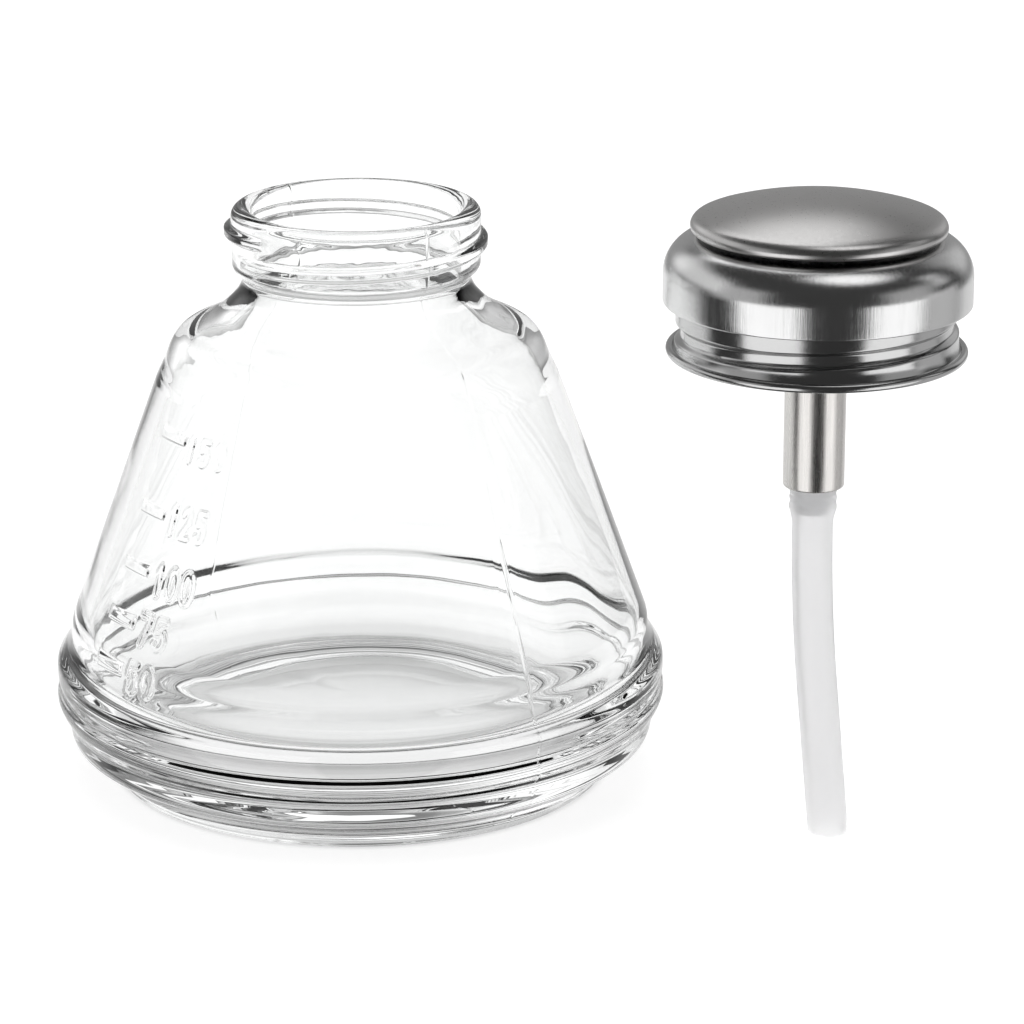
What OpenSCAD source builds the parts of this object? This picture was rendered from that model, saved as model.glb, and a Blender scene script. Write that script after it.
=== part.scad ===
// Graduated glass bottle with a push-down metal pump that screws on its neck.
// The pump is off the bottle and stands beside it on the end of its dip tube.
// Units are millimetres, +Z is up, and the origin is the centre of the bottle's base.

/* [Bottle] */
// Height of the bottle, from the table to the lip
bottle_h = 80; // [78:0.5:90]
// Radius of the foot ring that the bottle stands on
foot_r = 34.8; // [30:0.1:36]
// Radius of the body at the upper edge of the foot chamfer
chamfer_r = 40.6; // [38.5:0.1:41.5]
// Radius of the lower bead round the body
bead_r = 42.5; // [42:0.1:45]
// Radius of the body at the foot of its cone
cone_foot_r = 40; // [36:0.1:41]
// Radius of the body at the top of its cone
cone_top_r = 27.7; // [25:0.1:32]
// Height of the foot of the cone above the table
cone_foot_z = 22; // [21:0.5:26]
// Height of the top of the cone above the table
cone_top_z = 56; // [48:0.5:57]
// Thickness of the glass wall
glass_t = 2.3; // [1.6:0.1:3.2]
// Height of the inner floor above the table
inner_floor_z = 8.2; // [6:0.1:12]
// Radius of the flat middle of the inner floor
inner_flat_r = 21; // [16:0.5:28]
// Depth of the hollow under the base
push_up = 3; // [1:0.1:4.5]

/* [Neck] */
// Radius of the neck between its threads
neck_r = 16.95; // [16:0.05:20]
// Radius of the groove under the neck
groove_r = 15.7; // [15.3:0.05:15.9]
// Radius of the mouth
mouth_r = 14.2; // [12.5:0.05:14.6]
// Height of the neck, from its groove to the lip
neck_h = 9.9; // [9.5:0.1:11]
// Radius of the rounding of the lip
lip_round = 0.8; // [0.4:0.1:1.1]
// Height of the thread ridge above the neck
thread_h = 0.95; // [0.6:0.05:1.2]
// Width of the thread ridge at its root
thread_w = 2.2; // [1.5:0.1:2.6]
// Rise of the thread in one turn
thread_pitch = 3.3; // [3:0.1:4]
// Number of turns of the thread
thread_turns = 1.1; // [1:0.05:1.5]

/* [Graduation] */
// Length of a graduation tick
tick_len = 5.6; // [2:0.1:6]
// Width of a graduation tick
tick_w = 0.75; // [0.5:0.05:1.2]
// Height that a tick stands proud of the glass
tick_proud = 0.3; // [0.2:0.05:0.6]
// Direction of the ticks round the bottle, in degrees from the front
tick_side = -56; // [-80:0.5:-20]

/* [Pump place] */
// Distance of the pump to the right of the bottle's axis
pump_x = 60.9; // [60:0.1:80]
// Distance of the pump in front of the bottle's axis
pump_out = 28; // [28:0.5:60]

/* [Collar] */
// Sheet thickness of the collar
collar_t = 0.4; // [0.3:0.05:0.6]
// Height of the collar, from its curled edge to its top
collar_h = 9.7; // [9:0.1:11]
// Radius of the curled edge's section
curl_r = 0.8; // [0.6:0.05:1]
// Depth of the rolled thread inside the collar
rolled_h = 0.7; // [0.4:0.05:0.8]
// Thickness of the gasket under the collar's top
gasket_t = 0.6; // [0.4:0.1:1.2]

/* [Cover] */
// Sheet thickness of the cover
cover_t = 0.5; // [0.4:0.05:0.8]
// Height of the cover, from its hem to its top
cover_h = 8.75; // [8:0.05:9.6]
// Radius of the cover's shoulder
shoulder_r = 5; // [3:0.1:5.5]
// Gap between the cover and the collar
skirt_gap = 1.2; // [1:0.1:2]

/* [Press disc] */
// Radius of the press disc
disc_r = 16.7; // [14:0.1:18]
// Height of the disc's rim above its plate's underside
rim_h = 2.4; // [1.8:0.1:2.6]
// How far the rim reaches below the plate
rim_drop = 0.4; // [0.2:0.05:0.6]
// Rise of the disc's dome above its rim
dome_h = 2; // [1:0.1:3]
// Sheet thickness of the disc
disc_t = 0.8; // [0.5:0.05:1]
// Thickness of the plate that closes the disc from below
plate_t = 0.6; // [0.4:0.05:0.8]
// Gap between the cover and the disc, where the liquid comes out
outlet_gap = 0.9; // [0.7:0.05:1.5]

/* [Barrel] */
// Length of the barrel under its flange
barrel_len = 27.7; // [26:0.1:36]
// Bore radius of the barrel
bore_r = 3.3; // [3.2:0.05:3.5]
// Wall of the barrel
barrel_t = 0.75; // [0.5:0.05:1]
// Radius of the barrel's flange
flange_r = 6.5; // [6.2:0.1:8]
// Thickness of the barrel's flange
flange_t = 0.5; // [0.4:0.05:0.8]
// Width across the flats of the lock nut
nut_flats = 11; // [10:0.1:13]
// Height of the lock nut
nut_h = 2.4; // [1.8:0.1:3]

/* [Stem and piston] */
// Travel of the press disc
stroke = 3.4; // [2.5:0.1:3.5]
// Radius of the hollow stem
stem_r = 2; // [1.9:0.05:2.1]
// Radius of the passages in the stem, the piston and the barb
passage_r = 1; // [0.8:0.05:1.1]
// Height of the piston
piston_h = 3.5; // [3.2:0.1:4.5]
// Length of the bush that guides the stem
guide_len = 7.4; // [6:0.1:9]
// Wire radius of the seal rings
ring_wire_r = 0.42; // [0.35:0.01:0.45]
// Thickness of the nut under the cover
head_nut_h = 0.9; // [0.7:0.05:1.2]

/* [Valves] */
// Radius of the inlet ball
inlet_ball_r = 1.4; // [1.3:0.05:1.5]
// Radius of the outlet ball
outlet_ball_r = 1.3; // [1.2:0.05:1.4]
// Travel of each ball off its seat
ball_lift = 0.6; // [0.3:0.05:0.8]

/* [Return spring] */
// Wire radius of the spring
wire_r = 0.3; // [0.2:0.02:0.34]
// Number of turns of the spring
spring_turns = 8; // [5:1:9]

/* [Dip tube] */
// Length of the tube below the barrel
tube_len = 48.8; // [40:0.1:70]
// Outer radius of the tube
tube_r = 2.7; // [2.4:0.05:3]
// Wall of the tube
tube_t = 0.75; // [0.5:0.05:0.9]
// Length of the barb that holds the tube
barb_len = 3.6; // [3:0.1:6]
// Amount that the barb widens the tube's radius
barb_stretch = 0.45; // [0.2:0.05:0.6]
// Sideways reach of the tube's end, which bends a little
tube_lean = 3; // [0.5:0.1:4]

/* [Fits] */
// Clearance of pieces that are pressed or screwed together
press_gap = 0.01; // [0.005:0.005:0.03]
// Running clearance of the stem, the piston and the seals
run_gap = 0.05; // [0.03:0.01:0.08]
// Clearance between the neck's thread and the collar
thread_gap = 0.15; // [0.1:0.05:0.3]
// Clearance at the stops and the valve seats
stop_gap = 0.1; // [0.06:0.01:0.2]
// Clearance under the head when it is pressed home
home_gap = 0.8; // [0.2:0.05:1]

/* [Hidden] */
$fn = 96;

GLASS = [0.86, 0.92, 0.92, 0.45];
STEEL = [0.74, 0.75, 0.76];
POLISHED = [0.82, 0.83, 0.84];
RUBBER = [0.16, 0.16, 0.17];
PLASTIC = [0.9, 0.9, 0.88];

// Bottle heights that its outline needs
foot_round = 0.6;
chamfer_z = 5.5;
bead_z = 11.3;
bead_w = 4.4;
bead_dip = 0.45;
band_r = bead_r - 0.2;
neck_z = bottle_h - neck_h;
shoulder_z = cone_top_z + (neck_z - cone_top_z) * 0.45;
shoulder_out_r = cone_top_r - 3.3;
groove_w = 1.2;
bowl_top_z = cone_foot_z - 1.4;
cone_slope = (cone_foot_r - cone_top_r) / (cone_top_z - cone_foot_z);
wall_run = glass_t * sqrt(1 + cone_slope * cone_slope);
bowl_side = cone_foot_r - wall_run + 0.3 - inner_flat_r;

// Pump heights, from the end of the dip tube up
barrel_z = tube_len;
barrel_r = bore_r + barrel_t;
plate_top_z = barrel_z + barrel_len;
flange_top_z = plate_top_z + flange_t;
collar_r_in = neck_r + thread_h + thread_gap;
collar_r_out = collar_r_in + collar_t;
collar_z = plate_top_z - collar_h;
plate_under_z = plate_top_z - collar_t;
gasket_z = plate_under_z - gasket_t;
guide_z = flange_top_z - guide_len;
piston_top_z = guide_z - stop_gap;
piston_z = piston_top_z - piston_h;

// Head heights
cover_under_z = flange_top_z + home_gap + stroke + head_nut_h;
cover_top_z = cover_under_z + cover_t;
cover_r = collar_r_out + skirt_gap + cover_t;
disc_z = cover_top_z + outlet_gap;
spigot_r = stem_r + 1;
chamber_r = outlet_ball_r + 0.45;
hub_wall = 0.85;
hub_roof_t = 0.6;
hub_socket_l = 5;
hub_flange_r = spigot_r + 2;
stem_top_z = cover_under_z - 0.1;
outlet_seat_z = stem_top_z + stop_gap / 2;
outlet_ball_z = outlet_seat_z + sqrt(outlet_ball_r ^ 2 - passage_r ^ 2);
chamber_top_z = outlet_ball_z + outlet_ball_r + ball_lift + stop_gap;
rim_round = 1.6;
rim_fold_r = 0.85;
dome_r = ((disc_r - rim_round) ^ 2 + dome_h ^ 2) / (2 * dome_h);

// Valve heights
valve_z = barrel_z + 0.6;
seat_t = 0.8;
inlet_seat_z = valve_z + seat_t + stop_gap / 2;
inlet_ball_z = inlet_seat_z + sqrt(inlet_ball_r ^ 2 - passage_r ^ 2);
cage_r = inlet_ball_r + 0.5;
cage_top_z = inlet_ball_z + inlet_ball_r + ball_lift + stop_gap;
retainer_h = 0.6;
spring_z = cage_top_z + retainer_h + stop_gap / 2;
spring_len = piston_z - stop_gap / 2 - spring_z;
spring_r = bore_r - 0.4 - wire_r;

// Seal grooves
groove_h = 2 * ring_wire_r + 0.16;
piston_seal_z = piston_z + 0.4 + groove_h / 2;
stem_seal_z = guide_z + 0.6 + groove_h / 2;

// Dip tube
tube_bore_r = tube_r - tube_t;
barb_r = tube_bore_r + barb_stretch;
barb_lip = 0.3;
barb_z = barrel_z - barb_len;
bend_top_z = barb_z - 1.5;
bend_r = (bend_top_z ^ 2 + tube_lean ^ 2) / (2 * tube_lean);
bend_angle = asin(bend_top_z / bend_r);

// Points along an arc, from one angle to another
function arc(cx, cy, r, from, to, n = 8) =
    [for (i = [0:n]) let (a = from + (to - from) * i / n) [cx + r * cos(a), cy + r * sin(a)]];

// Outer radius of the bottle's cone at a height
function cone_r(z) = cone_foot_r - (z - cone_foot_z) * cone_slope;

// Triangles of a swept form that has n steps and m points in each ring, with its ends closed
function tube_faces(n, m) = concat(
    [for (i = [0:n - 1], j = [0:m - 1]) let (a = i * m + j, b = i * m + (j + 1) % m)
        each [[a, b, a + m], [b, b + m, a + m]]],
    [for (j = [1:m - 2]) each [[0, j + 1, j], [n * m, n * m + j, n * m + j + 1]]]);

// Height of the liquid for each graduation, from 50 to 150 in steps of 25
function mark_z(i) = [22, 28, 34.75, 42.25, 52][i];

module ring(r_out, r_in, z_low, z_high) {
    difference() {
        translate([0, 0, z_low]) cylinder(r = r_out, h = z_high - z_low);
        translate([0, 0, z_low - 1]) cylinder(r = r_in, h = z_high - z_low + 2);
    }
}

module seal_ring(r_mid, z_mid) {
    translate([0, 0, z_mid]) rotate_extrude() translate([r_mid, 0]) circle(r = ring_wire_r, $fn = 24);
}

module at_pump() {
    translate([pump_x, -pump_out, 0]) children();
}

// A ridge that winds round the Z axis, with its height fading out at both ends
module helix_ridge(r_root, height, width, sunk, pitch, turns, z_start, a_start) {
    steps = 30;
    n = floor(steps * turns);
    fade = steps / 9;
    function grow(i) = min(1, i / fade - 0.2, (n - i) / fade - 0.2);
    function section(g) = [
        [r_root - sunk, -width / 2], [r_root + height * (g - 0.12), -width * 0.42],
        [r_root + height * g, -width * 0.12], [r_root + height * g, width * 0.12],
        [r_root + height * (g - 0.12), width * 0.42], [r_root - sunk, width / 2]];
    points = [for (i = [0:n]) let (a = a_start + 360 * i / steps, s = section(grow(i)))
        for (p = s) [p[0] * cos(a), p[0] * sin(a), z_start + pitch * i / steps + p[1]]];
    faces = tube_faces(n, 6);
    polyhedron(points = points, faces = height > 0 ? faces : [for (f = faces) [f[0], f[2], f[1]]]);
}

// Bottle
module bottle_outline() {
    z1 = bead_z + bead_w / 2;
    polygon(concat(
        [[0, push_up], [foot_r - 8, push_up], [foot_r - 3.2, 0]],
        arc(foot_r - foot_round, foot_round, foot_round, -90, 0, 4),
        [[chamfer_r - 4.2, 2.9], [chamfer_r - 3.4, 3.4], [chamfer_r - 1.4, 4.4], [chamfer_r, chamfer_z],
         [chamfer_r + 0.5, 7.6], [bead_r - 0.8, 9.1], [bead_r - 0.2, 10.2]],
        [[bead_r, bead_z], [bead_r - 0.15, bead_z + 0.6], [bead_r - bead_dip, bead_z + 1.2]],
        [[band_r - 0.1, bead_z + 1.9], [band_r, bead_z + 2.8], [band_r, bead_z + bead_w],
         [band_r - 0.4, bead_z + bead_w + 1.2], [band_r - 1.2, bead_z + bead_w + 2.5]],
        [[cone_foot_r + 0.3, cone_foot_z - 2.4], [cone_foot_r, cone_foot_z]],
        [[cone_top_r, cone_top_z], [cone_top_r - 0.75, cone_top_z + 1.6],
         [cone_top_r - 1.4, cone_top_z + 3.4], [shoulder_out_r + 1, shoulder_z - 1.2],
         [shoulder_out_r, shoulder_z], [shoulder_out_r - 1.5, shoulder_z + 0.8]],
        [[groove_r + 3.7, neck_z - 4.9], [groove_r + 1.9, neck_z - 3.4], [groove_r + 0.6, neck_z - 2],
         [groove_r, neck_z - 0.7], [groove_r, neck_z + 0.2], [groove_r + 0.4, neck_z + 0.7],
         [neck_r - 0.2, neck_z + groove_w], [neck_r, neck_z + groove_w + 0.6]],
        arc(neck_r - lip_round, bottle_h - lip_round, lip_round, 0, 90, 6),
        arc(mouth_r + lip_round / 2, bottle_h - lip_round / 2, lip_round / 2, 90, 180, 4),
        [[mouth_r, neck_z - 1], [groove_r + 1.5 - glass_t / 2, neck_z - 4.6],
         [shoulder_out_r - wall_run - 1, shoulder_z - 2],
         [cone_top_r - wall_run, cone_top_z], [cone_foot_r - wall_run, cone_foot_z],
         [inner_flat_r + bowl_side, bowl_top_z]],
        [for (t = [80:-10:0])
            [inner_flat_r + bowl_side * sin(t), bowl_top_z - (bowl_top_z - inner_floor_z) * cos(t)]],
        [[0, inner_floor_z]]));
}

module graduation_ticks() {
    tilt = atan(cone_slope);
    for (i = [0:4])
        rotate([0, 0, tick_side])
            translate([0, -cone_r(mark_z(i)), mark_z(i)])
                rotate([-tilt, 0, 0])
                    translate([-tick_len / 2, -tick_proud, -tick_w / 2])
                        cube([tick_len, tick_proud + glass_t / 2, tick_w]);
}

module bottle() {
    color(GLASS) {
        rotate_extrude($fn = 128) bottle_outline();
        helix_ridge(neck_r, thread_h, thread_w, 0.4, thread_pitch, thread_turns,
            bottle_h - 6.4, -163);
        graduation_ticks();
    }
}

// Press disc: a domed sheet with a turned-down rim
module press_disc() {
    inner_r = disc_r - disc_t;
    rim_top = disc_z + rim_h;
    half = asin((disc_r - rim_round) / dome_r);
    inner_half = asin((inner_r - rim_round) / (dome_r - disc_t));
    centre_z = rim_top + dome_h - dome_r;
    color(POLISHED) at_pump() rotate_extrude($fn = 128) polygon(concat(
        [[inner_r, disc_z - rim_drop]],
        arc(disc_r - rim_fold_r, disc_z - rim_drop + rim_fold_r, rim_fold_r, -75, 0, 5),
        arc(disc_r - rim_round, rim_top - rim_round, rim_round, 12, 64, 5),
        arc(0, centre_z, dome_r, 90 - half, 90, 10),
        arc(0, centre_z, dome_r - disc_t, 90, 90 - inner_half, 8),
        [[inner_r, rim_top - disc_t]]));
}

module disc_plate() {
    color(STEEL) at_pump()
        ring(disc_r - disc_t - press_gap, chamber_r + hub_wall + press_gap, disc_z, disc_z + plate_t);
}

// Hub that joins the stem, the cover and the disc, with the outlet valve and its four ports
module valve_hub() {
    port_w = 1.6;
    port_h = 0.5;
    color(STEEL) at_pump() difference() {
        union() {
            translate([0, 0, cover_under_z - head_nut_h])
                cylinder(r = spigot_r, h = head_nut_h + cover_t);
            translate([0, 0, cover_top_z]) cylinder(r = hub_flange_r, h = outlet_gap);
            translate([0, 0, disc_z])
                cylinder(r = chamber_r + hub_wall, h = chamber_top_z - disc_z + hub_roof_t);
        }
        translate([0, 0, stem_top_z - hub_socket_l])
            cylinder(r = stem_r + press_gap, h = hub_socket_l);
        translate([0, 0, stem_top_z - hub_wall])
            cylinder(r = chamber_r, h = chamber_top_z - stem_top_z + hub_wall);
        for (i = [0:3]) rotate([0, 0, 45 + 90 * i])
            translate([0, -port_w / 2, cover_top_z + (outlet_gap - port_h) / 2])
                cube([2 * hub_flange_r, port_w, port_h]);
    }
}

// Cover: a cup with a rounded shoulder that slides down over the collar
module cover() {
    hem_z = cover_top_z - cover_h;
    inner_round_r = shoulder_r - cover_t;
    color(STEEL) at_pump() rotate_extrude($fn = 128) polygon(concat(
        [[spigot_r + press_gap, cover_under_z], [spigot_r + press_gap, cover_top_z]],
        arc(cover_r - shoulder_r, cover_top_z - shoulder_r, shoulder_r, 90, 0, 10),
        [[cover_r, hem_z], [cover_r - cover_t, hem_z]],
        arc(cover_r - shoulder_r, cover_top_z - shoulder_r, inner_round_r, 0, 90, 8)));
}

module head_nut() {
    color(STEEL) at_pump() difference() {
        translate([0, 0, cover_under_z - head_nut_h])
            cylinder(r = (spigot_r + 1.6) / cos(30), h = head_nut_h, $fn = 6);
        translate([0, 0, cover_under_z - head_nut_h - 1])
            cylinder(r = spigot_r + press_gap, h = head_nut_h + 2);
    }
}

module stem() {
    color(STEEL) at_pump() ring(stem_r, passage_r, piston_z + 1.7, stem_top_z);
}

module outlet_ball() {
    color(POLISHED) at_pump() translate([0, 0, outlet_ball_z]) sphere(r = outlet_ball_r, $fn = 48);
}

// Piston, screwed on the stem, with a groove for its seal
module piston() {
    stem_foot_z = piston_z + 1.7;
    color(PLASTIC) at_pump() difference() {
        translate([0, 0, piston_z]) cylinder(r = bore_r - run_gap, h = piston_h);
        translate([0, 0, piston_z - 1]) cylinder(r = passage_r, h = piston_h + 2);
        translate([0, 0, stem_foot_z]) cylinder(r = stem_r + press_gap, h = piston_h);
        ring(bore_r + 1, bore_r - 2 * ring_wire_r - 0.05, piston_seal_z - groove_h / 2,
            piston_seal_z + groove_h / 2);
    }
}

module piston_seal() {
    color(RUBBER) at_pump() seal_ring(bore_r - run_gap / 2 - ring_wire_r, piston_seal_z);
}

module return_spring() {
    m = 6;
    per_turn = 12;
    n = spring_turns * per_turn;
    rise = (spring_len - 2 * wire_r) / n;
    points = [for (i = [0:n], j = [0:m - 1])
        let (a = 360 * i / per_turn, b = 360 * j / m, r = spring_r + wire_r * cos(b))
        [r * cos(a), r * sin(a), spring_z + wire_r + rise * i + wire_r * sin(b)]];
    color(STEEL) at_pump() polyhedron(points = points, faces = tube_faces(n, m));
}

// Collar: a thin cap with a curled edge and a rolled thread
module screw_collar() {
    curl_mid_r = collar_r_in + curl_r + 0.1;
    corner = 1.4;
    color(POLISHED) at_pump() {
        rotate_extrude($fn = 128) polygon(concat(
            [[barrel_r + press_gap, plate_under_z], [barrel_r + press_gap, plate_top_z]],
            arc(collar_r_out - corner, plate_top_z - corner, corner, 90, 0, 6),
            [[collar_r_out, collar_z + curl_r], [collar_r_in, collar_z + curl_r]],
            arc(collar_r_out - corner, plate_top_z - corner, corner - collar_t, 0, 90, 6)));
        rotate_extrude($fn = 128) translate([curl_mid_r, collar_z + curl_r]) circle(r = curl_r, $fn = 32);
        helix_ridge(collar_r_in, -rolled_h, thread_w, -0.75 * collar_t, thread_pitch, 1, collar_z + 3.2, -150);
    }
}

module collar_gasket() {
    color(RUBBER) at_pump() ring(collar_r_in - 1.2, mouth_r - 0.8, gasket_z, plate_under_z);
}

module barrel() {
    chamfer = 0.35;
    color(STEEL) at_pump() rotate_extrude() polygon([
        [bore_r, barrel_z], [barrel_r - chamfer, barrel_z], [barrel_r, barrel_z + chamfer],
        [barrel_r, plate_top_z], [flange_r, plate_top_z], [flange_r, flange_top_z],
        [bore_r, flange_top_z]]);
}

module barrel_washer() {
    color(RUBBER) at_pump() ring(flange_r, barrel_r + press_gap, gasket_z, plate_under_z);
}

module lock_nut() {
    color(STEEL) at_pump() difference() {
        translate([0, 0, gasket_z - nut_h]) cylinder(r = nut_flats / 2 / cos(30), h = nut_h, $fn = 6);
        translate([0, 0, gasket_z - nut_h - 1]) cylinder(r = barrel_r + press_gap, h = nut_h + 2);
    }
}

// Bush in the barrel's top that guides the stem and holds its seal
module guide_bush() {
    color(PLASTIC) at_pump() difference() {
        translate([0, 0, guide_z]) cylinder(r = bore_r - press_gap, h = guide_len);
        translate([0, 0, guide_z - 1]) cylinder(r = stem_r + run_gap, h = guide_len + 2);
        translate([0, 0, stem_seal_z - groove_h / 2])
            cylinder(r = stem_r + 2 * ring_wire_r + 0.1, h = groove_h);
    }
}

module stem_seal() {
    color(RUBBER) at_pump() seal_ring(stem_r + run_gap / 2 + ring_wire_r, stem_seal_z);
}

// Inlet valve: a plug in the barrel's foot with a ball seat above and a barb below
module inlet_valve() {
    body_r = bore_r - press_gap;
    color(STEEL) at_pump() difference() {
        rotate_extrude() polygon([
            [0, barb_z], [barb_r - barb_lip, barb_z], [barb_r, barb_z + 1],
            [barb_r, barrel_z], [body_r, barrel_z], [body_r, cage_top_z], [0, cage_top_z]]);
        translate([0, 0, barb_z - 1]) cylinder(r = passage_r, h = barb_len + 5);
        translate([0, 0, valve_z + seat_t]) cylinder(r = cage_r, h = cage_top_z);
    }
}

module inlet_ball() {
    color(POLISHED) at_pump() translate([0, 0, inlet_ball_z]) sphere(r = inlet_ball_r, $fn = 48);
}

module valve_retainer() {
    color(STEEL) at_pump() ring(bore_r - press_gap, passage_r, cage_top_z, cage_top_z + retainer_h);
}

// Dip tube: stretched over the barb, then bent a little to one side and cut flat at its foot
module dip_tube() {
    sleeve_r = barb_r + tube_t;
    color(PLASTIC) at_pump() {
        rotate_extrude() polygon([
            [tube_bore_r, bend_top_z], [tube_r, bend_top_z], [sleeve_r, barb_z + 0.3],
            [sleeve_r, barrel_z - press_gap], [barb_r + press_gap, barrel_z - press_gap],
            [barb_r + press_gap, barb_z + 0.8], [barb_r - barb_lip + 0.05, barb_z - 0.1],
            [tube_bore_r, barb_z - 0.6]]);
        difference() {
            translate([bend_r, 0, bend_top_z]) rotate([90, 0, 0])
                rotate_extrude(angle = bend_angle + 1, start = 180, $fn = 360)
                    translate([bend_r, 0]) difference() {
                        circle(r = tube_r, $fn = 48);
                        circle(r = tube_bore_r, $fn = 48);
                    }
            translate([-pump_x, -pump_x, -2 * pump_x]) cube(2 * pump_x);
        }
    }
}

bottle();
press_disc();
disc_plate();
valve_hub();
cover();
head_nut();
stem();
outlet_ball();
piston();
piston_seal();
return_spring();
screw_collar();
collar_gasket();
barrel();
barrel_washer();
lock_nut();
guide_bush();
stem_seal();
inlet_valve();
inlet_ball();
valve_retainer();
dip_tube();
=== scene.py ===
# Graduated glass bottle with its push-down metal pump standing beside it.
# Blender objects are in metres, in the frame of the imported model. Sizes here are in millimetres,
# and MM turns them into metres. Angles round an axis start at the front and grow to the right.
import math

import bpy
import numpy as np
from mathutils import Euler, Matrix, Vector


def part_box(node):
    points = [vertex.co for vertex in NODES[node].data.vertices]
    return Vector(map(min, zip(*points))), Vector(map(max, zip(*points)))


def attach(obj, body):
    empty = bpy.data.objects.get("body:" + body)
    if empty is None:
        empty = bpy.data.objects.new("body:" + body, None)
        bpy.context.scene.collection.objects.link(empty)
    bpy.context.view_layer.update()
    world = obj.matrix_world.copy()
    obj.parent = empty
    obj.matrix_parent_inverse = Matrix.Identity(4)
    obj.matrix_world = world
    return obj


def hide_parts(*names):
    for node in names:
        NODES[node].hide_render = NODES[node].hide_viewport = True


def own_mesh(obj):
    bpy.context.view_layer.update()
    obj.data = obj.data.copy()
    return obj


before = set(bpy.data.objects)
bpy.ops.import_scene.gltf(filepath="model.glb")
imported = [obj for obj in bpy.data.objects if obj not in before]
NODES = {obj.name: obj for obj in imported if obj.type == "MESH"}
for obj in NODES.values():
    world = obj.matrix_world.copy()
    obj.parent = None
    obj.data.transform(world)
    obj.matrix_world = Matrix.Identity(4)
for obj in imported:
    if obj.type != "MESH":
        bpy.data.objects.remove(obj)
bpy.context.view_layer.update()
MM = 0.001

# Camera: it looks along +Y, tipped down by PITCH. The bottle's base centre lies at BASE_PX.
FRAME_SIZE = 1024
FOCAL_PX = 4200.0
PITCH = math.radians(17.7)
BASE_PX = (362.2, 755.0)
CAMERA_DIST = 594.7 * MM
SENSOR = 36.0

# Bottle
BOTTLE_H = 80.0
FOOT_R = 34.8
CHAMFER_R = 40.6
BEAD_R = 42.5
CONE_FOOT = (40.0, 22.0)
CONE_TOP = (27.7, 56.0)
GLASS_T = 2.3
# The inside ends in a bowl: its flat middle, and where it meets the wall
FLOOR_Z = 8.6
FLAT_R = 17.0
BOWL_TOP = 16.3
BOWL_R = 38.95
# The underside is hollow, and stands on a rounded rim
PUSH_UP = 3.0
FOOT_ROUND = 0.6
NECK_R = 16.95
GROOVE_R = 15.7
MOUTH_R = 14.2
NECK_Z = 70.1
THREAD_H = 0.95
THREAD_W = 2.2
PITCH_MM = 3.3
THREAD_TURNS = 1.1
THREAD_Z = BOTTLE_H - 6.4
THREAD_START = math.radians(-73.0)
RIDGE_FLANK = 0.62
LIP_OUT_R = 1.4
LIP_IN_R = 1.2
SEAM_SIDE = math.radians(36.0)
SEAM_SIDES = (SEAM_SIDE, SEAM_SIDE - math.pi)
SEAM_W = 0.3
SEAM_H = 0.07
# Chill lines inside: height, width and strength of each
CHILL_LINES = ((9.4, 0.16, 0.8), (11.2, 0.22, 1.0), (14.2, 0.28, 0.9), (17.6, 0.26, 0.7))
CHILL_H = 0.055

# Raised marks on the bottle: height, and how far the numerals sit above it and to the right
MARKS = {"50": (22.0, -0.65, 0.0), "75": (28.0, -0.3, 0.35), "100": (34.75, -0.5, 0.7),
         "125": (42.25, -0.15, 0.4), "150": (52.0, -0.8, 0.45)}
TICK_SIDE = math.radians(-56.0)
TICK_LEN = 5.6
TICK_W = 0.75
TICK_H = 0.2
TICK_EDGE = 0.3
DIGIT_RISE = 0.19
DIGIT_EDGE = 0.17
DIGIT_H = 4.4
DIGIT_W = 2.7
DIGIT_STEP = 3.15
DIGIT_SIDE = math.radians(-48.0)
STROKE = 0.27
# Numerals above TOP_MARK_Z are less tall, and those of three digits are narrower and closer
TOP_MARK_Z = 50
TOP_TALL = 0.85
THREE_WIDE = 0.76
THREE_STEP = 0.86

# Pump
PUMP_X = 60.9
PUMP_Y = -28.0
DISC_R = 16.7
DISC_Z = 83.5
DISC_H = 4.75
DISC_CROWN = 2.45
COVER_TOP = 82.6
COVER_H = 8.75
COVER_R = 20.15
COVER_CORNER = 5.0
COVER_SHEET = 0.5
COVER_HOLE_R = 3.05
COLLAR_TOP = 76.5
COLLAR_R = 18.45
COLLAR_Z = 66.8
COLLAR_CORNER = 1.4
COLLAR_SHEET = 0.4
COLLAR_HOLE_R = 4.06
BARREL_R = 4.05
BARREL_Z = 48.8
BARREL_TOP = 76.5
BARREL_BORE_R = 3.3
FLANGE_R = 6.5
FLANGE_T = 0.5

# Contact shade on the floor: distance from the bottle's axis and brightness, on a ramp as long
# as SHADE_SPAN
FLOOR_SHADE = ((18.0, 0.97), (29.0, 0.45), (33.5, 0.38), (35.5, 0.97))
SHADE_SPAN = 100.0


def make_camera():
    cam = bpy.data.cameras.new("camera")
    cam.sensor_width = SENSOR
    cam.lens = SENSOR * FOCAL_PX / FRAME_SIZE
    cam.clip_start = 0.01
    cam.clip_end = 20.0
    obj = bpy.data.objects.new("camera", cam)
    bpy.context.scene.collection.objects.link(obj)
    forward = Vector((0.0, math.cos(PITCH), -math.sin(PITCH)))
    up = Vector((0.0, math.sin(PITCH), math.cos(PITCH)))
    right = Vector((1.0, 0.0, 0.0))
    half = FRAME_SIZE / 2
    across = (BASE_PX[0] - half) / FOCAL_PX * CAMERA_DIST
    rise = (half - BASE_PX[1]) / FOCAL_PX * CAMERA_DIST
    obj.location = -forward * CAMERA_DIST - right * across - up * rise
    obj.rotation_euler = Euler((math.pi / 2 - PITCH, 0.0, 0.0))
    bpy.context.scene.camera = obj


# Outlines: lists of (radius, height) in millimetres


def arc(cx, cz, r, start, end, n=8):
    """Points on an arc from one angle to another, in degrees."""
    angles = np.radians(np.linspace(start, end, n + 1))
    return [(cx + r * math.cos(a), cz + r * math.sin(a)) for a in angles]


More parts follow.
